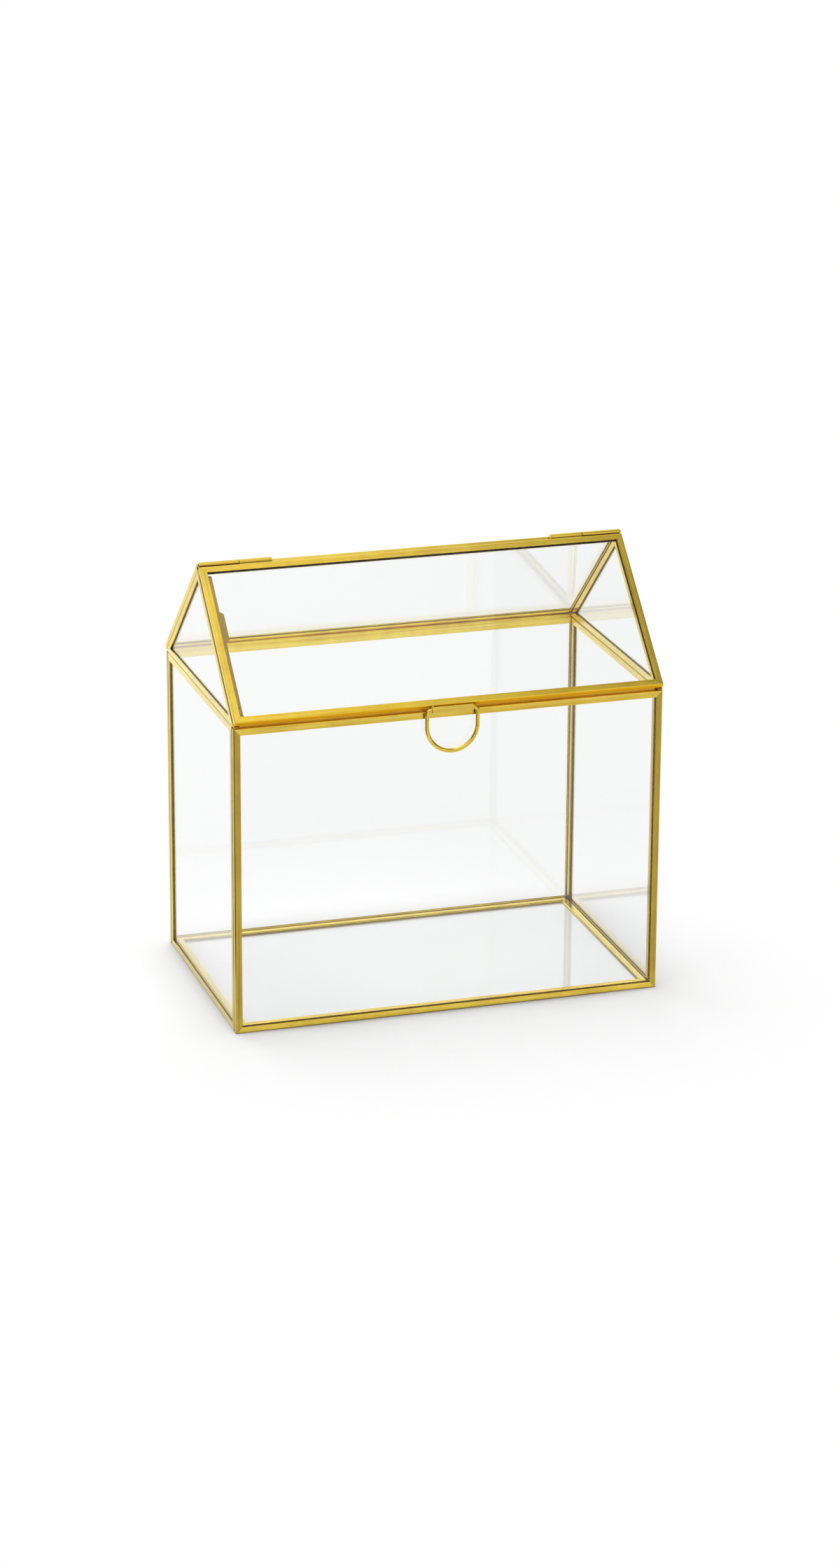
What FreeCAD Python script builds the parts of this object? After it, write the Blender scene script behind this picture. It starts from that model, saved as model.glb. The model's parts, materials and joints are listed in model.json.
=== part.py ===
import FreeCAD, Part
import math
import os

# Wedding card box: a house of framed glass panes with a hinged front roof pane.
# X runs along the length, -Y is the front, +Z is up, and z = 0 is the table.

# Whole object
length = 240.0
depth = 144.0
wall_height = 173.0
front_wall_drop = 0.4
gable_rise = 66.2

# Brass channel that frames each pane
channel_face = 3.7
channel_thickness = 3.6
channel_sheet = 0.75
channel_bend_radius = 0.8
mitre_gap = 0.04
seam_gap = 0.1

# Glass
glass_thickness = 2.0
glass_edge_gap = 0.3

# Lid
lid_lift = 0.25
lid_side_gap = 0.3
lid_eave_overhang = 1.0
lid_rest_thickness = 1.0
lid_rest_height = 2.6
back_roof_overhang = 1.1

# Ridge hinges
knuckle_radius = 1.5
knuckle_rail_gap = 0.5
knuckle_gap = 0.4
knuckle_foot_half = 0.7
hinge_outer_length = 22.0
hinge_inner_length = 18.0
pin_radius = 0.7
pin_running_gap = 0.05
pin_seat_gap = 0.02
pin_head_radius = 1.3
pin_head_length = 0.6

# Pull ring and the tube that carries it
ring_wire_radius = 1.15
ring_half_width = 14.1
ring_drop = 23.6
ring_bend_radius = 2.5
ring_tube_radius = 1.7
ring_tube_length = 23.0
ring_running_gap = 0.07
ring_tube_reach = 1.75
ring_foot_half = 0.8

# Lid prop under the left lid rail
prop_clearance = 0.3
prop_thickness = 1.0
prop_width = 2.3
prop_free_end = 6.5
prop_pivot_setback = 6.2
prop_pivot_drop = 2.2
prop_ear_half = 2.2
prop_ear_length = 7.0
prop_wall_gap = 0.8
prop_tab_start = 28.7
prop_tab_length = 18.4
prop_tab_reach = 4.6
prop_tab_thickness = 0.6
prop_tab_corner = 2.0
lug_thickness = 1.0
lug_half = 2.4
rivet_radius = 0.8
rivet_running_gap = 0.05
rivet_seat_gap = 0.02
rivet_head_radius = 1.5
rivet_head_height = 0.4
rivet_play = 0.3

# Values that follow from those above
half_length = length / 2
half_depth = depth / 2
half_thickness = channel_thickness / 2
half_glass = glass_thickness / 2
glass_inset = channel_sheet + glass_edge_gap
slope = math.atan2(gable_rise, half_depth)
gable_foot = wall_height + seam_gap
ridge_height = gable_foot + gable_rise + (lid_lift + half_thickness) / math.cos(slope)
rail_start = knuckle_radius + knuckle_rail_gap
slope_length = half_depth / math.cos(slope)
lid_slope_end = slope_length + lid_eave_overhang
back_roof_slope_end = slope_length + back_roof_overhang
prop_pivot = lid_slope_end - prop_pivot_setback
lid_half_length = half_length - lid_side_gap
back_roof_drop = lid_lift - seam_gap
x_axis = FreeCAD.Vector(1, 0, 0)


class Plane:
    """A flat frame of reference: a point, two directions in the pane, and its normal."""

    def __init__(self, base, across, along):
        self.base = FreeCAD.Vector(*base)
        self.across = FreeCAD.Vector(*across)
        self.along = FreeCAD.Vector(*along)
        self.normal = self.across.cross(self.along)

    def point(self, a, b, height=0.0):
        return self.base + self.across * a + self.along * b + self.normal * height

    def place(self, shape):
        matrix = FreeCAD.Matrix(
            self.across.x, self.along.x, self.normal.x, self.base.x,
            self.across.y, self.along.y, self.normal.y, self.base.y,
            self.across.z, self.along.z, self.normal.z, self.base.z,
            0, 0, 0, 1)
        shape.transformShape(matrix)
        return shape


def save(shape, node):
    shape.exportStep("parts/%s.step" % node)


def flat_vector(point):
    return FreeCAD.Vector(point[0], point[1], 0)


def channel_profile():
    """U section in (inward, height): the web at 0 and two lips around the glass slot."""
    bend = channel_bend_radius
    chord = bend * (1 - math.sqrt(0.5))
    slot_half = half_thickness - channel_sheet
    outer = half_thickness

    def at(inward, height):
        return FreeCAD.Vector(inward, height, 0)

    edges = [
        Part.LineSegment(at(0, bend - outer), at(0, outer - bend)).toShape(),
        Part.Arc(at(0, outer - bend), at(chord, outer - chord), at(bend, outer)).toShape(),
        Part.LineSegment(at(bend, outer), at(channel_face, outer)).toShape(),
        Part.LineSegment(at(channel_face, outer), at(channel_face, slot_half)).toShape(),
        Part.LineSegment(at(channel_face, slot_half), at(channel_sheet, slot_half)).toShape(),
        Part.LineSegment(at(channel_sheet, slot_half), at(channel_sheet, -slot_half)).toShape(),
        Part.LineSegment(at(channel_sheet, -slot_half), at(channel_face, -slot_half)).toShape(),
        Part.LineSegment(at(channel_face, -slot_half), at(channel_face, -outer)).toShape(),
        Part.LineSegment(at(channel_face, -outer), at(bend, -outer)).toShape(),
        Part.Arc(at(bend, -outer), at(chord, chord - outer), at(0, bend - outer)).toShape()]
    return Part.Face(Part.Wire(edges))


def channel_bar(outline):
    """One channel whose face has the given flat outline; its web lies on the first side."""
    start = flat_vector(outline[0])
    end = flat_vector(outline[1])
    run = end - start
    run.normalize()
    inward = FreeCAD.Vector(-run.y, run.x, 0)
    corners = [flat_vector(point) for point in outline]
    first = min((corner - start).dot(run) for corner in corners) - channel_face
    last = max((corner - start).dot(run) for corner in corners) + channel_face
    up = FreeCAD.Vector(0, 0, 1)
    section = channel_profile()
    section.transformShape(FreeCAD.Matrix(
        inward.x, up.x, run.x, start.x + run.x * first,
        inward.y, up.y, run.y, start.y + run.y * first,
        inward.z, up.z, run.z, 0,
        0, 0, 0, 1))
    bar = section.extrude(run * (last - first))
    face = Part.Face(Part.makePolygon(corners + [corners[0]]))
    face.translate(FreeCAD.Vector(0, 0, -channel_thickness))
    blank = face.extrude(FreeCAD.Vector(0, 0, 2 * channel_thickness))
    return bar.common(blank).Solids[0]


def inset_corner(before, corner, after, distance):
    """The point at the given distance inside both sides that meet at a corner."""
    first = flat_vector(corner) - flat_vector(before)
    second = flat_vector(after) - flat_vector(corner)
    first.normalize()
    second.normalize()
    first_in = FreeCAD.Vector(-first.y, first.x, 0)
    second_in = FreeCAD.Vector(-second.y, second.x, 0)
    total = first_in + second_in
    move = total * (distance / (1 + first_in.dot(second_in)))
    return (corner[0] + move.x, corner[1] + move.y)


def inset_outline(corners, distance):
    count = len(corners)
    return [inset_corner(corners[i - 1], corners[i], corners[(i + 1) % count], distance)
            for i in range(count)]


def shorten(outline, gap):
    """Draws both ends of a bar's outline in, to leave a fine joint line."""
    start, end, inner_end, inner_start = [flat_vector(point) for point in outline]
    run = end - start
    run.normalize()
    points = [start + run * gap, end - run * gap, inner_end - run * gap, inner_start + run * gap]
    return [(point.x, point.y) for point in points]


def mitred_bars(corners):
    """Channel bars along the sides of a pane, mitred where they meet."""
    inner = inset_outline(corners, channel_face)
    count = len(corners)
    bars = []
    for i in range(count):
        after = (i + 1) % count
        outline = [corners[i], corners[after], inner[after], inner[i]]
        bars.append(channel_bar(shorten(outline, mitre_gap)))
    return bars


def glass_pane(corners):
    points = [flat_vector(point) for point in inset_outline(corners, glass_inset)]
    face = Part.Face(Part.makePolygon(points + [points[0]]))
    face.translate(FreeCAD.Vector(0, 0, -half_glass))
    return face.extrude(FreeCAD.Vector(0, 0, glass_thickness))


def rectangle(a_start, a_end, b_start, b_end):
    return [(a_start, b_start), (a_end, b_start), (a_end, b_end), (a_start, b_end)]


def save_framed_pane(plane, corners, rail_nodes, glass_node):
    for bar, node in zip(mitred_bars(corners), rail_nodes):
        save(plane.place(bar), node)
    save(plane.place(glass_pane(corners)), glass_node)


def build_walls():
    middle = half_depth - half_thickness
    for name, y, height in (("front", -middle, wall_height - front_wall_drop), ("back", middle, wall_height)):
        long_wall = rectangle(-half_length, half_length, 0, height)
        plane = Plane((0, y, 0), (1, 0, 0), (0, 0, 1))
        nodes = [name + suffix for suffix in ("_bottom_rail", "_right_post", "_top_rail", "_left_post")]
        save_framed_pane(plane, long_wall, nodes, name + "_glass")
    side_half = half_depth - channel_thickness - seam_gap
    side_wall = rectangle(-side_half, side_half, 0, wall_height)
    for name, sign in (("left", -1), ("right", 1)):
        plane = Plane((sign * (half_length - half_thickness), 0, 0), (0, 1, 0), (0, 0, 1))
        nodes = [name + suffix for suffix in ("_bottom_rail", "_back_post", "_top_rail", "_front_post")]
        save_framed_pane(plane, side_wall, nodes, name + "_glass")


def build_lid_rest():
    """Strip on the inner edge of the front top rail, behind the lid's lower edge."""
    start = -half_length + channel_thickness + seam_gap
    inner_face = channel_thickness - half_depth
    corner = FreeCAD.Vector(start, inner_face - lid_rest_thickness, wall_height - front_wall_drop + seam_gap)
    save(Part.makeBox(-2 * start, lid_rest_thickness, lid_rest_height, corner), "front_lid_rest")


def build_floor():
    across = half_length - channel_thickness - seam_gap
    along = half_depth - channel_thickness - seam_gap
    plane = Plane((0, 0, half_thickness), (1, 0, 0), (0, 1, 0))
    nodes = ["floor_front_rail", "floor_right_rail", "floor_back_rail", "floor_left_rail"]
    save_framed_pane(plane, rectangle(-across, across, -along, along), nodes, "floor_glass")


def build_gables():
    triangle = [(-half_depth, 0), (half_depth, 0), (0, gable_rise)]
    for name, sign in (("left", -1), ("right", 1)):
        plane = Plane((sign * (half_length - half_thickness), 0, gable_foot), (0, 1, 0), (0, 0, 1))
        nodes = [name + suffix for suffix in ("_gable_base_rail", "_gable_back_rail", "_gable_front_rail")]
        save_framed_pane(plane, triangle, nodes, name + "_gable_glass")


def front_slope():
    """Lid plane: across is X, along runs up the slope to the hinge axis at 0."""
    return Plane((0, 0, ridge_height), (1, 0, 0), (0, math.cos(slope), math.sin(slope)))


def back_slope():
    """Back roof plane: across is -X, along runs up the slope to the hinge axis at 0."""
    return Plane((0, 0, ridge_height), (-1, 0, 0), (0, -math.cos(slope), math.sin(slope)))


def build_back_roof():
    plane = back_slope()
    plane.base = plane.base - plane.normal * back_roof_drop
    corners = rectangle(-half_length, half_length, -back_roof_slope_end, -rail_start)
    nodes = ["back_roof_bottom_rail", "back_roof_left_rail", "back_roof_top_rail", "back_roof_right_rail"]
    save_framed_pane(plane, corners, nodes, "back_roof_glass")


def build_lid():
    corners = rectangle(-lid_half_length, lid_half_length, -lid_slope_end, -rail_start)
    nodes = ["lid_bottom_rail", "lid_right_rail", "lid_top_rail", "lid_left_rail"]
    save_framed_pane(front_slope(), corners, nodes, "lid_glass")


def solder_foot(start, end, half_height, near, far):
    """Web in a slope's own axes, from the tube's wall to the rail it is soldered to."""
    corner = FreeCAD.Vector(start, -far, -half_height)
    return Part.makeBox(end - start, far - near, 2 * half_height, corner)


def hinge_knuckle(plane, start, end, bore, drop):
    """Tube on the hinge axis with its foot on the top rail of the given slope."""
    web = solder_foot(start, end, knuckle_foot_half, 0, rail_start)
    web.translate(FreeCAD.Vector(0, 0, -drop))
    body = Part.makeCylinder(knuckle_radius, end - start, FreeCAD.Vector(start, 0, 0), x_axis)
    bore_cut = Part.makeCylinder(bore, end - start, FreeCAD.Vector(start, 0, 0), x_axis)
    return plane.place(body.fuse(web).cut(bore_cut).removeSplitter().Solids[0])


def hinge_pin(outer_end, inner_end):
    """Plain pin whose domed head closes the outer end of the fixed knuckle."""
    outward = 1 if outer_end > inner_end else -1
    shank = Part.makeCylinder(pin_radius, abs(outer_end - inner_end),
                              FreeCAD.Vector(min(outer_end, inner_end), 0, ridge_height), x_axis)
    head = Part.makeCone(pin_head_radius, pin_radius, pin_head_length,
                         FreeCAD.Vector(outer_end, 0, ridge_height), x_axis * outward)
    return shank.fuse(head).removeSplitter().Solids[0]


def build_hinges():
    fixed_bore = pin_radius + pin_seat_gap
    lid_bore = pin_radius + pin_running_gap
    for name, sign in (("left", -1), ("right", 1)):
        outer = half_length - pin_head_length
        middle = outer - hinge_outer_length
        inner = middle - knuckle_gap - hinge_inner_length
        fixed = sorted((-sign * outer, -sign * middle))
        swinging = sorted((sign * (middle - knuckle_gap), sign * inner))
        save(hinge_knuckle(back_slope(), fixed[0], fixed[1], fixed_bore, back_roof_drop),
             "hinge_%s_fixed_knuckle" % name)
        save(hinge_knuckle(front_slope(), swinging[0], swinging[1], lid_bore, 0),
             "hinge_%s_lid_knuckle" % name)
        save(hinge_pin(sign * outer, sign * inner), "hinge_%s_pin" % name)


def ring_axis():
    """Centre of the pull ring's tube, on the lid's lower edge."""
    return front_slope().point(0, -lid_slope_end - ring_tube_reach, 0)


def build_ring_tube():
    start = -ring_tube_length / 2
    end = ring_tube_length / 2
    centre = FreeCAD.Vector(start, -lid_slope_end - ring_tube_reach, 0)
    body = Part.makeCylinder(ring_tube_radius, ring_tube_length, centre, x_axis)
    web = solder_foot(start, end, ring_foot_half, lid_slope_end, lid_slope_end + ring_tube_reach)
    bore = Part.makeCylinder(ring_wire_radius + ring_running_gap, ring_tube_length, centre, x_axis)
    save(front_slope().place(body.fuse(web).cut(bore).removeSplitter().Solids[0]), "ring_tube")


def build_pull_ring():
    """D ring bent from round wire: a straight bar in the tube, two legs and a half circle."""
    axis = ring_axis()
    plane = Plane((axis.x, axis.y, axis.z), (1, 0, 0), (0, 0, 1))
    leg_end = -(ring_drop - ring_half_width)
    bar_half = ring_half_width - ring_bend_radius
    lean = ring_bend_radius * (1 - math.sqrt(0.5))
    path = [
        Part.LineSegment(plane.point(-bar_half, 0), plane.point(bar_half, 0)).toShape(),
        Part.Arc(plane.point(bar_half, 0), plane.point(ring_half_width - lean, -lean),
                 plane.point(ring_half_width, -ring_bend_radius)).toShape(),
        Part.LineSegment(plane.point(ring_half_width, -ring_bend_radius),
                         plane.point(ring_half_width, leg_end)).toShape(),
        Part.Arc(plane.point(ring_half_width, leg_end), plane.point(0, -ring_drop),
                 plane.point(-ring_half_width, leg_end)).toShape(),
        Part.LineSegment(plane.point(-ring_half_width, leg_end),
                         plane.point(-ring_half_width, -ring_bend_radius)).toShape(),
        Part.Arc(plane.point(-ring_half_width, -ring_bend_radius),
                 plane.point(lean - ring_half_width, -lean), plane.point(-bar_half, 0)).toShape()]
    wire_section = Part.Wire(Part.makeCircle(ring_wire_radius, plane.point(-bar_half, 0), x_axis))
    ring = Part.Wire(path).makePipeShell([wire_section], True, False)
    save(ring.Solids[0], "pull_ring")


def rounded_strip(a_start, a_end, b_start, b_end, radius, low, thickness):
    """Flat strip in a slope's axes, with its two ends at b_start and b_end rounded."""
    blank = Part.makeBox(a_end - a_start, b_end - b_start, thickness, FreeCAD.Vector(a_start, b_start, low))
    corners = [edge for edge in blank.Edges
               if abs(edge.Vertexes[0].Z - edge.Vertexes[1].Z) > thickness / 2]
    return blank.makeFillet(radius, corners)


def prop_levels():
    """Heights below the lid's middle plane: the strip's top, and the rivet's axis."""
    strip_top = -half_thickness - prop_clearance
    return strip_top, strip_top - prop_pivot_drop


def build_prop():
    """Prop strip with its pivot ear and finger tab, its lug on the lid, and the rivet."""
    plane = front_slope()
    strip_top, pivot_height = prop_levels()
    strip_low = strip_top - prop_thickness
    lug_start = -half_length + channel_thickness + prop_wall_gap
    lug_end = lug_start + lug_thickness
    ear_start = lug_end + rivet_play
    ear_end = ear_start + prop_thickness
    strip_end = lug_start + prop_width
    ear_top = -prop_pivot + prop_ear_length
    end_radius = prop_width / 2 - prop_clearance

    strip = rounded_strip(lug_start, strip_end, ear_top - prop_ear_half, -prop_free_end,
                          end_radius, strip_low, prop_thickness)
    ear = Part.makeBox(prop_thickness, prop_ear_length, 2 * prop_ear_half,
                       FreeCAD.Vector(ear_start, -prop_pivot, strip_top - 2 * prop_ear_half))
    eye = Part.makeCylinder(prop_ear_half, prop_thickness,
                            FreeCAD.Vector(ear_start, -prop_pivot, pivot_height), x_axis)
    hole = Part.makeCylinder(rivet_radius + rivet_running_gap, prop_thickness,
                             FreeCAD.Vector(ear_start, -prop_pivot, pivot_height), x_axis)
    prop = strip.fuse(ear).fuse(eye).cut(hole).removeSplitter()
    save(plane.place(prop.Solids[0]), "prop_strip")

    tab = rounded_strip(lug_start, lug_start + prop_tab_reach, -prop_tab_start - prop_tab_length,
                        -prop_tab_start, prop_tab_corner, strip_low - prop_tab_thickness,
                        prop_tab_thickness)
    save(plane.place(tab), "prop_tab")

    lug = Part.makeBox(lug_thickness, 2 * lug_half, -half_thickness - pivot_height,
                       FreeCAD.Vector(lug_start, -prop_pivot - lug_half, pivot_height))
    lug_eye = Part.makeCylinder(lug_half, lug_thickness,
                                FreeCAD.Vector(lug_start, -prop_pivot, pivot_height), x_axis)
    lug_hole = Part.makeCylinder(rivet_radius + rivet_seat_gap, lug_thickness,
                                 FreeCAD.Vector(lug_start, -prop_pivot, pivot_height), x_axis)
    lug = lug.fuse(lug_eye).cut(lug_hole).removeSplitter()
    save(plane.place(lug.Solids[0]), "prop_lug")

    centre = FreeCAD.Vector(lug_start, -prop_pivot, pivot_height)
    shank_length = ear_end + rivet_play - lug_start
    shank = Part.makeCylinder(rivet_radius, shank_length, centre, x_axis)
    near_head = Part.makeCone(rivet_head_radius, rivet_radius, rivet_head_height, centre, x_axis * -1)
    far_head = Part.makeCone(rivet_head_radius, rivet_radius, rivet_head_height,
                             centre + x_axis * shank_length, x_axis)
    rivet = shank.fuse(near_head).fuse(far_head).removeSplitter()
    save(plane.place(rivet.Solids[0]), "prop_rivet")


os.makedirs("parts", exist_ok=True)
build_walls()
build_lid_rest()
build_floor()
build_gables()
build_back_roof()
build_lid()
build_hinges()
build_ring_tube()
build_pull_ring()
build_prop()
print("ridge axis height", round(ridge_height, 3), "slope degrees", round(math.degrees(slope), 3))
print("ring axis", ring_axis())
print("prop axis", front_slope().point(0, -prop_pivot, prop_levels()[1]))
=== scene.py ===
import json
import math

import bmesh
import bpy
import numpy as np
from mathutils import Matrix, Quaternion, Vector


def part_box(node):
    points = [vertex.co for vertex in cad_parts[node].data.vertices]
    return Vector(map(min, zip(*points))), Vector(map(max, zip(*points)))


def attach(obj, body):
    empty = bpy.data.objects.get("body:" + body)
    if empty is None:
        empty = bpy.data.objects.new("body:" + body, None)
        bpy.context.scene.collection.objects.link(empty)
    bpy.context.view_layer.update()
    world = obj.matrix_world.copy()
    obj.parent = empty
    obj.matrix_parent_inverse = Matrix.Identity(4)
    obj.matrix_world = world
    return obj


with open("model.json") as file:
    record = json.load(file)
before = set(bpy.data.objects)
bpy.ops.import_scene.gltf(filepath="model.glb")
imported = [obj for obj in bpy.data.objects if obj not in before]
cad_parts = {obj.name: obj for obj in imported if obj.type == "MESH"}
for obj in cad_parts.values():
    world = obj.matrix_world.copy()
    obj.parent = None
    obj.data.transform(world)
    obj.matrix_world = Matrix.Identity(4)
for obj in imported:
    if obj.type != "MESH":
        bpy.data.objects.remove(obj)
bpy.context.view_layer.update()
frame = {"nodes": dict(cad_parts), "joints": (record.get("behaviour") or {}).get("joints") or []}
scene = bpy.context.scene
nodes = frame["nodes"]

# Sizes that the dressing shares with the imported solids, in metres
railLow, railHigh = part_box("front_bottom_rail")
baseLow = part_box("left_gable_base_rail")[0]
boxSizes = {
    "halfLength": railHigh[0],
    "halfDepth": -railLow[1],
    "wallHeight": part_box("left_top_rail")[1][2],
    "channelThickness": railHigh[1] - railLow[1],
    "channelFace": railHigh[2] - railLow[2],
    "gableFoot": baseLow[2],
    "gableRise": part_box("left_gable_front_rail")[1][2] - baseLow[2],
}
roofSlope = math.atan2(boxSizes["gableRise"], boxSizes["halfDepth"])
ringJoint = next(joint for joint in frame["joints"] if joint["name"] == "ring_swing")
sides = (("left", -1), ("right", 1))
ends = (("front", -1), ("back", 1))
print("frame loaded:", len(nodes), "nodes")


# Node tree helpers

noiseSpread = (0.3, 0.7)  # where most of a noise's values lie
fullSpread = (0.0, 1.0)


def grey(level):
    return (level, level, level)


def newMaterial(name):
    material = bpy.data.materials.new(name)
    material.use_nodes = True
    tree = material.node_tree
    tree.nodes.clear()
    output = tree.nodes.new("ShaderNodeOutputMaterial")
    shader = tree.nodes.new("ShaderNodeBsdfPrincipled")
    tree.links.new(shader.outputs["BSDF"], output.inputs["Surface"])
    return material, tree, shader, output


def objectCoordinates(tree, scale=(1, 1, 1), turn=(0, 0, 0)):
    vector = tree.nodes.new("ShaderNodeTexCoord").outputs["Object"]
    for setting, value in (("Rotation", turn), ("Scale", scale)):  # turned before it is stretched
        mapping = tree.nodes.new("ShaderNodeMapping")
        mapping.inputs[setting].default_value = value
        tree.links.new(vector, mapping.inputs["Vector"])
        vector = mapping.outputs["Vector"]
    return vector


def noiseAt(tree, vector, scale, detail, roughness):
    noise = tree.nodes.new("ShaderNodeTexNoise")
    noise.inputs["Scale"].default_value = scale
    noise.inputs["Detail"].default_value = detail
    noise.inputs["Roughness"].default_value = roughness
    tree.links.new(vector, noise.inputs["Vector"])
    return noise.outputs["Fac"]


def colourRamp(tree, value, stops):
    ramp = tree.nodes.new("ShaderNodeValToRGB")
    elements = ramp.color_ramp.elements
    while len(elements) < len(stops):
        elements.new(0.5)
    for element, (place, colour) in zip(elements, stops):
        element.position = place
        element.color = (*colour, 1.0)
    tree.links.new(value, ramp.inputs["Fac"])
    return ramp.outputs["Color"]


def mapRange(tree, value, toRange, fromRange=noiseSpread):
    ranged = tree.nodes.new("ShaderNodeMapRange")
    ranged.inputs["From Min"].default_value, ranged.inputs["From Max"].default_value = fromRange
    ranged.inputs["To Min"].default_value, ranged.inputs["To Max"].default_value = toRange
    tree.links.new(value, ranged.inputs["Value"])
    return ranged.outputs["Result"]


def multiplied(tree, first, second):
    mixer = tree.nodes.new("ShaderNodeMix")
    mixer.data_type = "RGBA"
    mixer.blend_type = "MULTIPLY"
    mixer.inputs["Factor"].default_value = 1.0
    tree.links.new(first, mixer.inputs["A"])
    tree.links.new(second, mixer.inputs["B"])
    return mixer.outputs["Result"]


def mathOf(tree, operation, first, second):
    node = tree.nodes.new("ShaderNodeMath")
    node.operation = operation
    tree.links.new(first, node.inputs[0])
    tree.links.new(second, node.inputs[1])
    return node.outputs["Value"]


def bumpOf(tree, height, strength, distance):
    bump = tree.nodes.new("ShaderNodeBump")
    bump.inputs["Strength"].default_value = strength
    bump.inputs["Distance"].default_value = distance
    tree.links.new(height, bump.inputs["Height"])
    return bump


def stretched(axis, amount):
    # even on two axes, and drawn out along the third
    return [amount if i == axis else 1.0 for i in range(3)]


# Lacquered satin brass, rolled and brushed lengthwise; each noise is a scale, a detail and a roughness
brassLook = {
    "palest": (1.0, 0.80, 0.13),
    "middle": (0.96, 0.68, 0.065),
    "deepest": (0.77, 0.49, 0.030),
    "toneStops": (0.28, 0.5, 0.74),
    "streakNoise": (900.0, 4.0, 0.6),
    "streakStretch": 0.012,
    "streakStrength": 0.35,
    "streakDistance": 0.00008,
    "cloudDark": (0.88, 0.85, 0.79),
    "cloudStops": (0.35, 0.6),
    "cloudNoise": (55.0, 3.0, 0.55),
    "waveNoise": (46.0, 1.0, 0.4),
    "waveStretch": 0.16,
    "waveStrength": 0.30,
    "waveDistance": 0.00030,
    "roughness": (0.17, 0.30),
    "edgeTint": (1.0, 0.99, 0.70, 1.0),
    "coat": 0.6,
    "coatIor": 1.62,
    "coatRoughness": 0.12,
    # painted crevice shade: its reach, samples, darkest colour and ramp stops
    "creviceReach": 0.0019,
    "creviceSamples": 6,
    "paintedCreviceDark": (0.27, 0.20, 0.10),
    "creviceStops": (0.42, 0.90),
    # painted bounce light: the orange colour and rougher finish mixed onto faces that look one way
    "warm": (1.0, 0.56, 0.004, 1.0),
    "warmRoughness": 0.55,
    "warmFacing": (0.45, 0.85),
}


def paintedCreviceShade(tree):
    # painted shade: the metal is darkened where another piece stands close to it
    closeness = tree.nodes.new("ShaderNodeAmbientOcclusion")
    closeness.samples = brassLook["creviceSamples"]
    closeness.inputs["Distance"].default_value = brassLook["creviceReach"]
    shades = (brassLook["paintedCreviceDark"], grey(1.0))
    return colourRamp(tree, closeness.outputs["AO"], list(zip(brassLook["creviceStops"], shades)))


def paintedBounceGlow(tree, metal, rough, direction):
    # painted bounce light: the base colour turns orange and rougher on faces that look this way, standing in
    # for the light two bars throw back and forth
    facing = tree.nodes.new("ShaderNodeVectorMath")
    facing.operation = "DOT_PRODUCT"
    facing.inputs[1].default_value = direction
    tree.links.new(tree.nodes.new("ShaderNodeTexCoord").outputs["Normal"], facing.inputs[0])
    share = mapRange(tree, facing.outputs["Value"], fullSpread, brassLook["warmFacing"])
    mixer = tree.nodes.new("ShaderNodeMix")
    mixer.data_type = "RGBA"
    mixer.inputs["B"].default_value = brassLook["warm"]
    tree.links.new(share, mixer.inputs["Factor"])
    tree.links.new(metal, mixer.inputs["A"])
    blend = tree.nodes.new("ShaderNodeMix")
    blend.inputs["B"].default_value = brassLook["warmRoughness"]
    tree.links.new(share, blend.inputs["Factor"])
    tree.links.new(rough, blend.inputs["A"])
    return mixer.outputs["Result"], blend.outputs["Result"]


def makeBrass(name, stretchAxis, turn=(0, 0, 0), paintedLightTone=grey(1.0), withoutPaintedShade=False, paintedGlowSide=None,
              coat=brassLook["coat"]):
    material, tree, shader, _ = newMaterial(name)
    look = brassLook
    along = objectCoordinates(tree, stretched(stretchAxis, look["streakStretch"]), turn)
    gentle = objectCoordinates(tree, stretched(stretchAxis, look["waveStretch"]), turn)
    streak = noiseAt(tree, along, *look["streakNoise"])  # fine draw lines along the bar
    cloud = noiseAt(tree, objectCoordinates(tree), *look["cloudNoise"])  # slow tarnish under the lacquer
    wave = noiseAt(tree, gentle, *look["waveNoise"])  # slight waviness left by folding the strip
    tones = (look["deepest"], look["middle"], look["palest"])
    # the tarnish clouds carry the painted light tone as well
    clouds = (tuple(np.multiply(look["cloudDark"], paintedLightTone)), paintedLightTone)
    metal = multiplied(tree, colourRamp(tree, streak, list(zip(look["toneStops"], tones))),
                       colourRamp(tree, cloud, list(zip(look["cloudStops"], clouds))))
    # painted crevice shade is multiplied in unless the brass is made without it
    if not withoutPaintedShade:
        metal = multiplied(tree, metal, paintedCreviceShade(tree))
    rough = mapRange(tree, streak, look["roughness"])
    if paintedGlowSide:
        metal, rough = paintedBounceGlow(tree, metal, rough, paintedGlowSide)
    tree.links.new(metal, shader.inputs["Base Color"])
    tree.links.new(rough, shader.inputs["Roughness"])
    shader.inputs["Metallic"].default_value = 1.0
    shader.inputs["Specular Tint"].default_value = look["edgeTint"]
    shader.inputs["Coat Weight"].default_value = coat
    shader.inputs["Coat Roughness"].default_value = look["coatRoughness"]
    shader.inputs["Coat IOR"].default_value = look["coatIor"]
    waves = bumpOf(tree, wave, look["waveStrength"], look["waveDistance"])
    lines = bumpOf(tree, streak, look["streakStrength"], look["streakDistance"])
    tree.links.new(waves.outputs["Normal"], lines.inputs["Normal"])
    tree.links.new(lines.outputs["Normal"], shader.inputs["Normal"])
    return material


# Solder in the seams: pale, dull and a little pitted
solderLook = {
    "dull": (0.22, 0.16, 0.05),
    "bright": (0.62, 0.48, 0.18),
    "toneStops": (0.32, 0.58),
    "pitNoise": (700.0, 4.0, 0.6),
    "roughness": (0.5, 0.25),
    "bumpStrength": 0.5,
    "bumpDistance": 0.0002,
}


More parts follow.
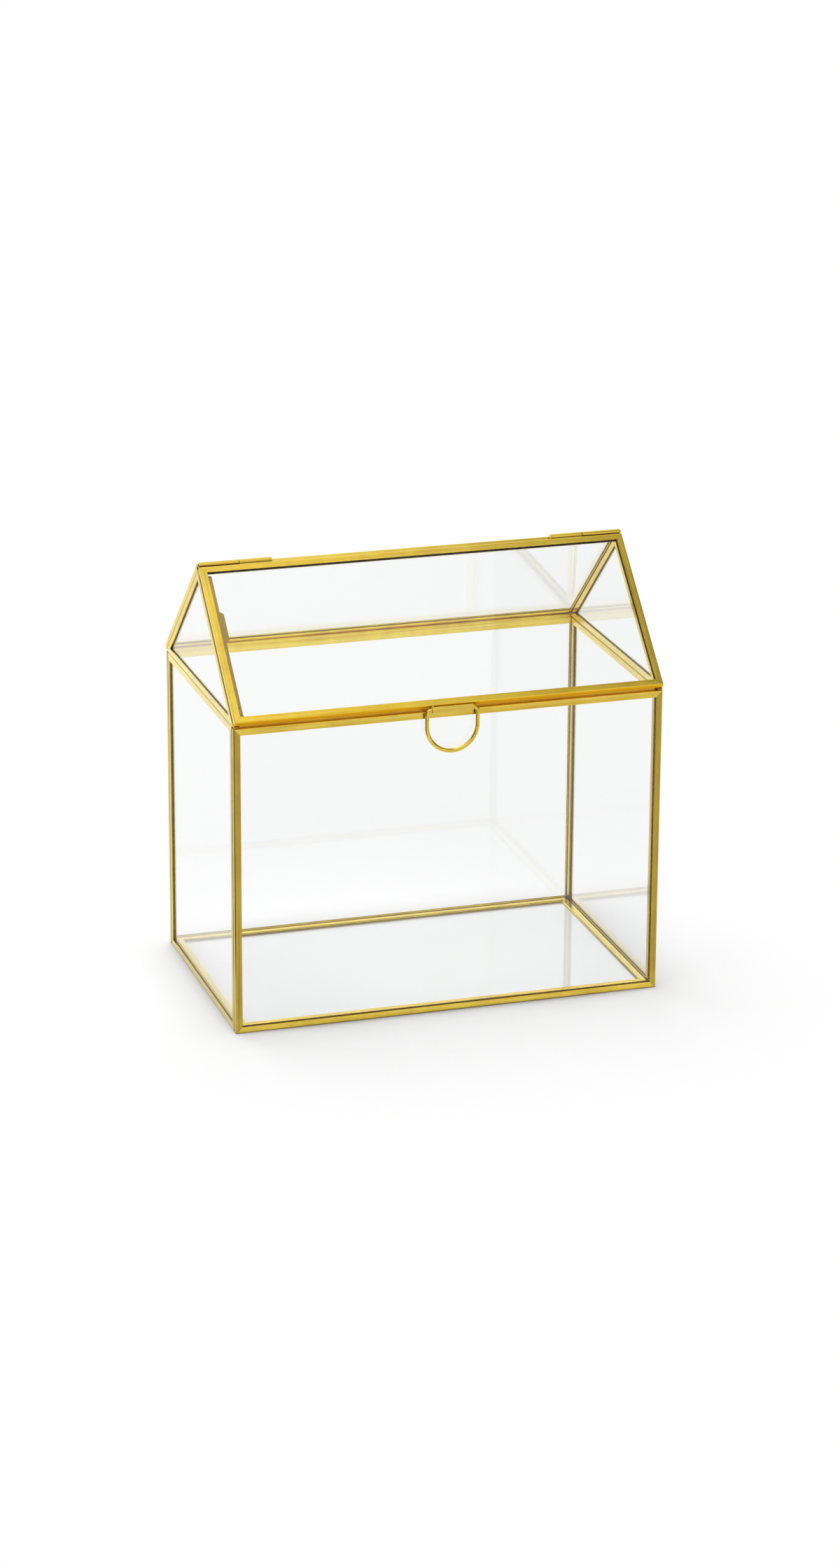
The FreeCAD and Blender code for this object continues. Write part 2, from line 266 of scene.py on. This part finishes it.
def makeSolder():
    material, tree, shader, _ = newMaterial("brassSolder")
    look = solderLook
    pits = noiseAt(tree, objectCoordinates(tree), *look["pitNoise"])
    tone = colourRamp(tree, pits, list(zip(look["toneStops"], (look["dull"], look["bright"]))))
    tree.links.new(tone, shader.inputs["Base Color"])
    tree.links.new(mapRange(tree, pits, look["roughness"]), shader.inputs["Roughness"])
    shader.inputs["Metallic"].default_value = 1.0
    bump = bumpOf(tree, pits, look["bumpStrength"], look["bumpDistance"])
    tree.links.new(bump.outputs["Normal"], shader.inputs["Normal"])
    return material


# Clear sheet glass with a breath of green, wiped clean but not perfectly
glassLook = {
    "tint": (0.967, 0.971, 0.970, 1.0),
    "lampTint": (0.82, 0.825, 0.822, 1.0),
    "ior": 1.5,
    "faceReflection": 0.06,
    "leftReflection": 1.0,
    "rightReflection": 0.2,
    "smudgeNoise": (26.0, 5.0, 0.6),
    "smudgeSpread": (0.52, 0.8),
    "roughness": (0.0, 0.035),
    "waveNoise": (9.0, 1.0, 0.4),
    "waveStrength": 0.15,
    "waveDistance": 0.00005,
}


def makeGlass(name, reflection):
    material, tree, shader, output = newMaterial(name)
    look = glassLook
    place = objectCoordinates(tree)
    smudge = noiseAt(tree, place, *look["smudgeNoise"])
    wave = noiseAt(tree, place, *look["waveNoise"])
    shader.inputs["Base Color"].default_value = look["tint"]
    shader.inputs["Transmission Weight"].default_value = 1.0
    shader.inputs["IOR"].default_value = look["ior"]
    shader.inputs["Specular IOR Level"].default_value = reflection
    rough = mapRange(tree, smudge, look["roughness"], look["smudgeSpread"])
    tree.links.new(rough, shader.inputs["Roughness"])
    bump = bumpOf(tree, wave, look["waveStrength"], look["waveDistance"])
    tree.links.new(bump.outputs["Normal"], shader.inputs["Normal"])
    clear = tree.nodes.new("ShaderNodeBsdfTransparent")  # lets the lamps through to the floor
    clear.inputs["Color"].default_value = look["lampTint"]
    path = tree.nodes.new("ShaderNodeLightPath")
    mixer = tree.nodes.new("ShaderNodeMixShader")
    tree.links.new(path.outputs["Is Shadow Ray"], mixer.inputs["Fac"])
    tree.links.new(shader.outputs["BSDF"], mixer.inputs[1])
    tree.links.new(clear.outputs["BSDF"], mixer.inputs[2])
    tree.links.new(mixer.outputs["Shader"], output.inputs["Surface"])
    return material


# Each brass has draw lines along one axis; its tone multiplier is painted light: the posts and the prop are
# darkened as painted shade, the side bars are paled as painted highlight, and the eaves, far bars and far
# posts are made paler and greener as painted reflection tone
alongX, alongY, alongZ = range(3)
frontTurn, backTurn = (-roofSlope, 0, 0), (roofSlope, 0, 0)
underLid = (0.0, -math.cos(roofSlope), -math.sin(roofSlope))
brassAlongX = makeBrass("brassAlongX", alongX)
# painted reflection tone: the eaves are made paler and greener
brassEaves = makeBrass("brassEaves", alongX, paintedLightTone=(1.0, 1.08, 1.25), withoutPaintedShade=True)
# painted bounce light on the lid's lower edge and the wall's top edge
brassLidEdge = makeBrass("brassLidEdge", alongX, withoutPaintedShade=True, paintedGlowSide=underLid, coat=0.2)
brassWallEdge = makeBrass("brassWallEdge", alongX, withoutPaintedShade=True, paintedGlowSide=(0.0, 0.0, 1.0))
# painted highlight: the side bars are paled to lemon
brassAlongY = makeBrass("brassAlongY", alongY, paintedLightTone=(1.0, 1.09, 1.5), coat=1.0)
# painted shade: the posts are darkened
brassAlongZ = makeBrass("brassAlongZ", alongZ, paintedLightTone=(0.61, 0.59, 0.55))
# painted reflection tone: the far bars and posts are made paler and greener
brassBackBars = makeBrass("brassBackBars", alongX, paintedLightTone=(1.0, 1.08, 1.3))
brassBackPosts = makeBrass("brassBackPosts", alongZ, paintedLightTone=(0.66, 0.68, 0.64))
brassUpFront = makeBrass("brassUpFrontSlope", alongY, frontTurn)
brassUpBack = makeBrass("brassUpBackSlope", alongY, backTurn)
brassProp = makeBrass("brassProp", alongY, frontTurn, paintedLightTone=(0.42, 0.38, 0.26), withoutPaintedShade=True,
                      coat=0.05)  # painted shade: darker where it lies under the lid
brassSolder = makeSolder()
clearGlass = makeGlass("clearSheetGlass", glassLook["faceReflection"])
leftGlass = makeGlass("leftSheetGlass", glassLook["leftReflection"])
rightGlass = makeGlass("rightSheetGlass", glassLook["rightReflection"])
print("materials made")


# Each brass node takes the brass whose draw lines run the way that its bar runs
barFinishes = {
    "lid_bottom_rail": brassLidEdge,
    "front_top_rail": brassWallEdge,
    "front_lid_rest": brassWallEdge,
    "back_roof_bottom_rail": brassEaves,
    "back_top_rail": brassEaves,
    "back_bottom_rail": brassBackBars,
    "floor_back_rail": brassBackBars,
    "floor_left_rail": brassAlongY,
    "floor_right_rail": brassAlongY,
}
for sideName, _ in sides:
    barFinishes["lid_%s_rail" % sideName] = brassUpFront
    barFinishes["%s_gable_front_rail" % sideName] = brassUpFront
    barFinishes["back_roof_%s_rail" % sideName] = brassUpBack
    barFinishes["%s_gable_back_rail" % sideName] = brassUpBack
    for barName in ("bottom", "top", "gable_base"):
        barFinishes["%s_%s_rail" % (sideName, barName)] = brassAlongY


def materialFor(name):
    if name.endswith("_glass"):
        return {"left": leftGlass, "right": rightGlass}.get(name.split("_")[0], clearGlass)
    if name.startswith("prop_"):
        return brassProp
    if name.endswith("_post"):
        return brassBackPosts if "back" in name else brassAlongZ
    return barFinishes.get(name, brassAlongX)


for name, node in nodes.items():
    node.data.materials.clear()
    node.data.materials.append(materialFor(name))
print("nodes finished")


# Surfaces worked out on a grid

mergeDistance = 1e-7


def addSurface(name, points, material, body, capEnds):
    # a grid of rows along the piece and columns round it, whose last column joins its first
    rows, columns = points.shape[:2]
    index = np.arange(rows * columns).reshape(rows, columns)
    index = np.concatenate([index, index[:, :1]], axis=1)
    faces = np.stack([index[:-1, :-1], index[:-1, 1:], index[1:, 1:], index[1:, :-1]], axis=-1)
    faceList = faces.reshape(-1, 4).tolist()
    if capEnds:
        faceList.append(index[0, :columns][::-1].tolist())
        faceList.append(index[-1, :columns].tolist())
    mesh = bpy.data.meshes.new(name)
    mesh.from_pydata(points.reshape(-1, 3).tolist(), [], faceList)
    shell = bmesh.new()
    shell.from_mesh(mesh)
    bmesh.ops.remove_doubles(shell, verts=shell.verts, dist=mergeDistance)
    bmesh.ops.recalc_face_normals(shell, faces=shell.faces)  # every face looks outwards
    shell.to_mesh(mesh)
    shell.free()
    mesh.polygons.foreach_set("use_smooth", np.ones(len(mesh.polygons), dtype=bool))
    mesh.update()
    mesh.materials.append(material)
    piece = bpy.data.objects.new(name, mesh)
    scene.collection.objects.link(piece)
    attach(piece, body)


# Solder run along a seam between two frames
seamLook = {
    "radius": 0.00042,
    "insetShare": 1.35,
    "ripple": 0.16,
    "ripplesPerMetre": 95.0,
    "rippleTurns": (0.37, 1.0, 2.3),
    "eaveRadius": 0.0013,
    "eaveRipple": 0.02,
    "eaveLift": 0.0004,
    "around": 14,
    "stepsPerMetre": 900,
    "leastSteps": 8,
    "taperPower": 40,
    "taperLeast": 0.05,
    "skew": (0.31, 0.52, 0.79),  # a direction that no seam runs in
}


def seamRun(name, start, end, radius=seamLook["radius"], seed=0, material=brassSolder,
            waviness=seamLook["ripple"]):
    # a circle of rippling radius carried along the straight line from start to end, drawn in at both ends
    look = seamLook
    start, end = np.array(start), np.array(end)
    length = np.linalg.norm(end - start)
    along = (end - start) / length
    across = np.cross(along, look["skew"])
    across /= np.linalg.norm(across)
    up = np.cross(along, across)
    t = np.linspace(0, 1, max(look["leastSteps"], int(length * look["stepsPerMetre"])))[:, None]
    angle = np.linspace(0, 2 * np.pi, look["around"], endpoint=False)[None, :]
    draw = np.random.default_rng(seed)
    phases = draw.uniform(0, 2 * np.pi, len(look["rippleTurns"]))
    turns = look["ripplesPerMetre"] * length * 2 * np.pi
    ripple = sum(np.sin(turns * k * t + phase) / (k + 1) for k, phase in zip(look["rippleTurns"], phases))
    taper = np.sqrt(np.clip(1 - (2 * t - 1) ** look["taperPower"], look["taperLeast"], 1))
    reach = radius * (1 + waviness * ripple) * taper
    centre = start + (end - start) * t
    ring = np.cos(angle)[..., None] * across + np.sin(angle)[..., None] * up
    addSurface(name, centre[:, None, :] + reach[..., None] * ring, material, "box", True)


def buildSeams():
    s = boxSizes
    inset = seamLook["insetShare"] * seamLook["radius"]
    x = s["halfLength"] - inset
    y = s["halfDepth"] - s["channelThickness"]
    z = (s["wallHeight"] + s["gableFoot"]) / 2
    count = 0
    for sideName, sx in sides:
        for endName, sy in ends:
            seamRun("cornerSeam_%s_%s" % (sideName, endName), (sx * x, sy * y, inset),
                    (sx * x, sy * y, s["wallHeight"] - 2 * inset), seed=count)
            count += 1
        seamRun("eaveSeam_%s" % sideName, (sx * x, -y, z), (sx * x, y, z), seed=count)
        count += 1
    back = s["halfDepth"] - s["channelThickness"] / 2
    along = s["halfLength"] - seamLook["eaveRadius"]
    top = s["wallHeight"] + seamLook["eaveLift"]
    seamRun("backEaveSeam", (-along, back, top), (along, back, top), seamLook["eaveRadius"], count,
            brassEaves, seamLook["eaveRipple"])
    print("seams made:", count + 1)


buildSeams()


# Thin line where each channel's lip meets its glass, on both faces of the pane; the dark and brown lines are
# painted shade for the shadowed slot, the others are brass
glazingLineLook = {
    "radius": 0.00021,
    "around": 10,
    # painted shade colours for the dark and brown lines, varied by a noise
    "dark": ((0.030, 0.021, 0.008), (0.10, 0.070, 0.022)),
    "brown": ((0.21, 0.115, 0.008), (0.44, 0.26, 0.02)),
    "shadeToneNoise": (420.0, 3.0, 0.6),
    "shadeToneStops": (0.42, 0.72),
    "roughness": 0.42,
    "darkEdged": ("lid_glass", "left_gable_glass", "right_gable_glass"),
    "brassEdged": ("back_roof_glass", "back_glass", "floor_glass"),
    "bodies": {"lid_glass": "lid"},
    "skew": (0.29, 0.83, 0.47),  # a direction that no pane faces
    "rounding": 7,
}


def makeShadeLineMaterial(name, colours):
    material, tree, shader, _ = newMaterial(name)
    shadeVariation = noiseAt(tree, objectCoordinates(tree), *glazingLineLook["shadeToneNoise"])
    tone = colourRamp(tree, shadeVariation, list(zip(glazingLineLook["shadeToneStops"], colours)))
    tree.links.new(tone, shader.inputs["Base Color"])
    shader.inputs["Roughness"].default_value = glazingLineLook["roughness"]
    return material


# painted shade: dark and brown lines standing in for the shadowed slot between lip and glass
darkShadeLine = makeShadeLineMaterial("darkShadeLine", glazingLineLook["dark"])
brownShadeLine = makeShadeLineMaterial("brownShadeLine", glazingLineLook["brown"])


def glazingLineFor(name):
    if name in glazingLineLook["brassEdged"]:
        return brassEaves
    return darkShadeLine if name in glazingLineLook["darkEdged"] else brownShadeLine


def paneOutline(name):
    # the pane's corners in order, the direction it is thinnest in, and half its thickness
    mesh = nodes[name].data
    points = np.empty(len(mesh.vertices) * 3)
    mesh.vertices.foreach_get("co", points)
    points = np.unique(points.reshape(-1, 3).round(glazingLineLook["rounding"]), axis=0)
    middle = points.mean(axis=0)
    normal = np.linalg.svd(points - middle)[2][2]
    height = (points - middle) @ normal
    face = points[height > 0] - height.max() * normal
    across = np.cross(normal, glazingLineLook["skew"])
    turn = np.arctan2((face - middle) @ np.cross(normal, across), (face - middle) @ across)
    return face[np.argsort(turn)], normal, height.max()


def insetCorners(corners, normal, distance):
    # each corner moves in by the same distance from both of its sides
    run = np.roll(corners, -1, axis=0) - corners
    run /= np.linalg.norm(run, axis=1)[:, None]
    inward = np.cross(normal, run)
    before = np.roll(inward, 1, axis=0)
    share = 1 + np.sum(inward * before, axis=1)[:, None]
    return corners + distance * (inward + before) / share


def buildGlazingLines():
    look = glazingLineLook
    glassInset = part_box("front_glass")[0][0] + boxSizes["halfLength"]
    lipReach = boxSizes["channelFace"] - glassInset
    angle = np.linspace(0, 2 * np.pi, look["around"], endpoint=False)
    for name in [name for name in nodes if name.endswith("_glass")]:
        corners, normal, halfGlass = paneOutline(name)
        body = look["bodies"].get(name, "box")
        for faceName, side in (("outer", 1), ("inner", -1)):
            # a small circle, in height and inset, carried round the pane's outline
            loops = [insetCorners(corners, normal, lipReach + look["radius"] * np.cos(a))
                     + side * normal * (halfGlass + look["radius"] * np.sin(a)) for a in angle]
            points = np.stack(loops, axis=1)
            points = np.concatenate([points, points[:1]], axis=0)
            addSurface("seal_%s_%s" % (name, faceName), points, glazingLineFor(name), body, False)
    print("glazing seals made")


buildGlazingLines()


# Painted shade: a thin dark line along each gable's front slope, in the groove under the lid's side rail,
# standing in for the shadow gap there
shadowGapLook = {
    "radius": 0.00032,
    "inset": 0.00036,
    "lift": 0.00012,
    "low": 0.03,
    "high": 0.97,
    "seed": 40,
}


def buildShadowGapLines():
    s, look = boxSizes, shadowGapLook
    slope = np.array([0.0, s["halfDepth"], s["gableRise"]])
    lift = look["lift"] * np.array([0.0, -math.sin(roofSlope), math.cos(roofSlope)])
    for sideName, sx in sides:
        foot = np.array([sx * (s["halfLength"] - look["inset"]), -s["halfDepth"], s["gableFoot"]]) + lift
        seamRun("lidBuffer_%s" % sideName, foot + look["low"] * slope, foot + look["high"] * slope,
                look["radius"], look["seed"] + sx, darkShadeLine, 0.0)
    print("lid buffers made")


buildShadowGapLines()


# Lumps of solder: a sphere whose radius swells and pits by a few waves
dabLook = {
    "rows": 22,
    "columns": 28,
    "poleGap": 0.02,
    "lump": 0.132,
    "secondWave": 0.6,
    "thirdWave": 0.5,
    "tubeOffset": (0.0010, 0.0007, 0.0013),
    "tubeSize": (0.0016, 0.0012, 0.0011),
    "tubeSeed": 3,
    "eaveInset": 0.0013,
    "eaveDrop": 0.0001,
    "eaveSize": (0.0011, 0.0011, 0.0005),
    "eaveSeed": 20,
}


def solderDab(name, centre, size, body, seed):
    # a radius of 1 plus lump times three waves, then stretched to size: 3 round, which change sides
    # from top to bottom, 5 round, strongest at the middle, and 2 from pole to pole
    look = dabLook
    v = np.linspace(look["poleGap"], np.pi - look["poleGap"], look["rows"])[:, None]
    u = np.linspace(0, 2 * np.pi, look["columns"], endpoint=False)[None, :]
    draw = np.random.default_rng(seed)
    a, b, c = draw.uniform(0, 2 * np.pi, 3)
    waves = np.sin(3 * u + a) * np.sin(2 * v)
    waves = waves + look["secondWave"] * np.sin(5 * u + b) * np.sin(v) ** 2
    waves = waves + look["thirdWave"] * np.cos(4 * v + c)
    reach = 1 + look["lump"] * waves
    unit = np.stack([np.sin(v) * np.cos(u), np.sin(v) * np.sin(u), np.cos(v) + 0 * u], axis=-1)
    addSurface(name, np.array(centre) + reach[..., None] * unit * np.array(size), brassSolder, body, True)


def buildDabs():
    s, look = boxSizes, dabLook
    tubeEnd = np.array([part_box("ring_tube")[0][0], *ringJoint["pos_m"][1:]])
    solderDab("ringTubeDab", tubeEnd + look["tubeOffset"], look["tubeSize"], "lid", look["tubeSeed"])
    count = 1
    for sideName, sx in sides:
        for endName, sy in ends:
            corner = (sx * (s["halfLength"] - look["eaveInset"]), sy * (s["halfDepth"] - look["eaveInset"]),
                      s["wallHeight"] - look["eaveDrop"])
            solderDab("eaveDab_%s_%s" % (sideName, endName), corner, look["eaveSize"], "box",
                      look["eaveSeed"] + count)
            count += 1
    print("solder dabs made:", count)


buildDabs()


# Floor and room; the contact stops run from under the box, through the line where it stands,
# to open floor
stageLook = {
    "floorHalf": 6.0,
    "contactReach": 0.040,
    "contactStops": [(0.0, grey(0.75)), (0.08, grey(0.75)), (0.18, (0.08, 0.07, 0.05)),
                     (0.48, (0.22, 0.21, 0.19)), (0.57, grey(0.57)), (0.63, grey(0.66)),
                     (0.75, grey(0.72)), (0.97, grey(0.84))],
    "floorLift": 0.285,
    "fade": (0.105, 0.25),
    "worldAmbient": 0.40,
    "cardRoughness": 0.9,
}

# Cards that the metal and glass mirror: how light each is, then its four corners
studioCards = {
    "frontCard": (0.03, [(-3.0, -3.4, 1.15), (3.0, -3.4, 1.15), (3.0, -3.4, 1.6), (-3.0, -3.4, 1.6)]),
    "leftCard": (0.03, [(-3.0, -3.2, 0.05), (-3.0, 0.6, 0.05), (-3.0, 0.6, 2.2), (-3.0, -3.2, 2.2)]),
    "rightCard": (0.03, [(3.0, -3.2, 0.05), (3.0, 3.0, 0.05), (3.0, 3.0, 2.6), (3.0, -3.2, 2.6)]),
    "tableCard": (0.95, [(-2.5, -3.0, 0.001), (2.5, -3.0, 0.001), (2.5, -0.09, 0.001), (-2.5, -0.09, 0.001)]),
    "rightTopCard": (0.65, [(0.62, -1.6, 2.0), (2.6, -1.6, 2.0), (2.6, 0.6, 2.0), (0.62, 0.6, 2.0)]),
    "darkTableCard": (0.06, [(-0.2, -0.25, 0.0015), (-0.2, 0.0, 0.0015), (-1.5, 0.15, 0.0015),
                             (-1.5, -1.6, 0.0015)]),
}

# Softboxes, in metres and watts
studioLamps = {
    "backSoftbox": {"place": (-0.22, 0.95, 2.2), "aim": (0.0, 0.0, 0.1), "size": 1.3, "power": 29.0},
    "leftSoftbox": {"place": (-1.9, -0.9, 1.1), "aim": (0.0, 0.0, 0.12), "size": 1.0, "power": 7.0},
}


def pathSum(tree):
    # 1 for rays from the camera, off metal and through glass, else 0
    path = tree.nodes.new("ShaderNodeLightPath")
    direct = mathOf(tree, "MAXIMUM", path.outputs["Is Camera Ray"], path.outputs["Is Glossy Ray"])
    return mathOf(tree, "MAXIMUM", direct, path.outputs["Is Transmission Ray"])


def makeFloorMaterial():
    material = bpy.data.materials.new("paleFloor")
    material.use_nodes = True
    tree = material.node_tree
    tree.nodes.clear()
    output = tree.nodes.new("ShaderNodeOutputMaterial")
    matt = tree.nodes.new("ShaderNodeBsdfDiffuse")
    closeness = tree.nodes.new("ShaderNodeAmbientOcclusion")  # shadow gathers where the box meets the floor
    closeness.inputs["Distance"].default_value = stageLook["contactReach"]
    tree.links.new(colourRamp(tree, closeness.outputs["AO"], stageLook["contactStops"]), matt.inputs["Color"])
    seen = pathSum(tree)
    lift = tree.nodes.new("ShaderNodeEmission")
    tree.links.new(mapRange(tree, seen, (0.0, stageLook["floorLift"]), fullSpread), lift.inputs["Strength"])
    both = tree.nodes.new("ShaderNodeAddShader")
    tree.links.new(matt.outputs["BSDF"], both.inputs[0])
    tree.links.new(lift.outputs["Emission"], both.inputs[1])
    distance = tree.nodes.new("ShaderNodeVectorMath")  # from the middle of the box, across the floor
    distance.operation = "LENGTH"
    tree.links.new(objectCoordinates(tree), distance.inputs[0])
    far = mapRange(tree, distance.outputs["Value"], fullSpread, stageLook["fade"])
    white = tree.nodes.new("ShaderNodeEmission")
    white.inputs["Strength"].default_value = 1.0
    mixer = tree.nodes.new("ShaderNodeMixShader")
    tree.links.new(mathOf(tree, "MULTIPLY", far, seen), mixer.inputs["Fac"])
    tree.links.new(both.outputs["Shader"], mixer.inputs[1])
    tree.links.new(white.outputs["Emission"], mixer.inputs[2])
    tree.links.new(mixer.outputs["Shader"], output.inputs["Surface"])
    return material


def addPlane(name, corners, material):
    mesh = bpy.data.meshes.new(name)
    mesh.from_pydata(corners, [], [(0, 1, 2, 3)])
    mesh.update()
    mesh.materials.append(material)
    plane = bpy.data.objects.new(name, mesh)
    scene.collection.objects.link(plane)
    return plane


def buildFloorAndCards():
    half = stageLook["floorHalf"]
    addPlane("studioFloor", [(-half, -half, 0), (half, -half, 0), (half, half, 0), (-half, half, 0)],
             makeFloorMaterial())
    for name, (lightness, corners) in studioCards.items():
        material, _, shader, _ = newMaterial(name + "Grey")
        shader.inputs["Base Color"].default_value = (*grey(lightness), 1.0)
        shader.inputs["Roughness"].default_value = stageLook["cardRoughness"]
        card = addPlane(name, corners, material)
        card.visible_camera = False  # the cards show only in the metal and glass that mirror them
        card.visible_transmission = False
        card.visible_shadow = False
        card.visible_diffuse = False


def buildWorld():
    world = bpy.data.worlds.new("whiteStudio")
    scene.world = world
    world.use_nodes = True
    tree = world.node_tree
    tree.nodes.clear()
    output = tree.nodes.new("ShaderNodeOutputWorld")
    background = tree.nodes.new("ShaderNodeBackground")
    background.inputs["Color"].default_value = (1.0, 1.0, 1.0, 1.0)
    strength = mapRange(tree, pathSum(tree), (stageLook["worldAmbient"], 1.0), fullSpread)
    tree.links.new(strength, background.inputs["Strength"])
    tree.links.new(background.outputs["Background"], output.inputs["Surface"])


def buildLamps():
    for name, look in studioLamps.items():
        lamp = bpy.data.lights.new(name, "AREA")
        lamp.shape = "SQUARE"
        lamp.size = look["size"]
        lamp.energy = look["power"]
        holder = bpy.data.objects.new(name, lamp)
        holder.location = look["place"]
        holder.rotation_mode = "QUATERNION"
        holder.rotation_quaternion = (Vector(look["aim"]) - Vector(look["place"])).to_track_quat("-Z", "Y")
        holder.visible_glossy = False  # the metal and glass mirror the cards and the white room, not the lamp
        scene.collection.objects.link(holder)


buildFloorAndCards()
buildWorld()
buildLamps()
print("stage set")


# Camera at the photograph's viewing angle
cameraLook = {
    "azimuth": -17.450,
    "elevation": 19.079,
    "roll": 0.343,
    "distance": 2.38844,
    "target": (0.005407, 0.0, 0.106340),
    "lens": 99.248,
    "sensorWidth": 36.0,
}


def buildCamera():
    a = math.radians(cameraLook["azimuth"])
    e = math.radians(cameraLook["elevation"])
    back = Vector((math.sin(a) * math.cos(e), -math.cos(a) * math.cos(e), math.sin(e)))
    lens = bpy.data.cameras.new("photoCamera")
    lens.lens = cameraLook["lens"]
    lens.sensor_width = cameraLook["sensorWidth"]
    holder = bpy.data.objects.new("photoCamera", lens)
    holder.rotation_mode = "QUATERNION"
    holder.location = Vector(cameraLook["target"]) + back * cameraLook["distance"]
    level = (-back).to_track_quat("-Z", "Y")
    holder.rotation_quaternion = level @ Quaternion((0, 0, 1), math.radians(cameraLook["roll"]))
    scene.collection.objects.link(holder)
    scene.camera = holder


buildCamera()
scene.view_settings.view_transform = "Standard"
print("camera set")
